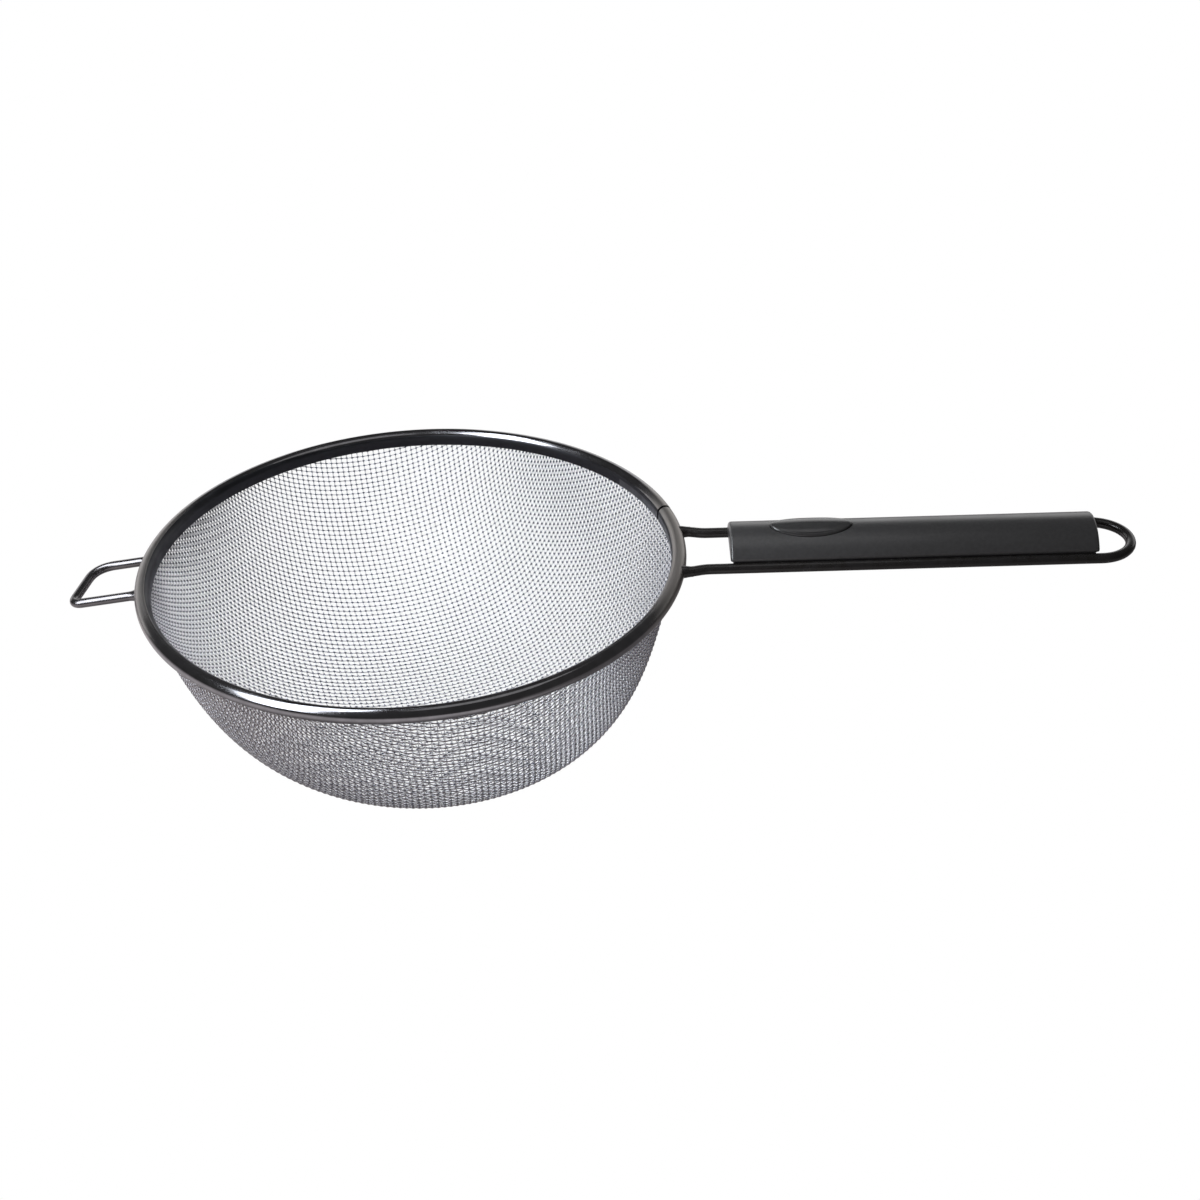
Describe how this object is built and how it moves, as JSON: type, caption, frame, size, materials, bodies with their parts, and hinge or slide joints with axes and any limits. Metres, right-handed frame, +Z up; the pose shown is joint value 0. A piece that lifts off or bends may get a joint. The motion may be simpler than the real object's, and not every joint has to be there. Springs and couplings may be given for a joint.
{
  "type": "long-handled wire-mesh sieve",
  "caption": "Round wire-mesh sieve with a gunmetal rolled rim, a bent-wire rest hook and a two-leg wire handle under a matte black grip with an oval thumb pad.",
  "frame": {"origin": "the middle of the small flat at the bottom of the mesh bowl, which the sieve stands on", "axes": "+X along the handle away from the bowl, +Z up and square to the rim's plane, +Y to the right seen along the handle towards the bowl"},
  "size_m": [0.3607, 0.186, 0.0849],
  "materials": {
    "mesh_steel": "bright drawn wire",
    "gunmetal": "dark polished plating",
    "grip_black": "fine matte texture",
    "pad_black": "satin"
  },
  "bodies": {
    "root": {"mesh_bowl": "mesh_steel", "rim_band": "gunmetal", "rim_core_ring": "gunmetal", "handle_wire": "gunmetal", "handle_weld_near": "gunmetal", "handle_weld_far": "gunmetal", "grip_shell": "grip_black", "thumb_pad": "pad_black", "hook_wire": "gunmetal", "hook_weld_near": "gunmetal", "hook_weld_far": "gunmetal"}
  },
  "joints": []
}
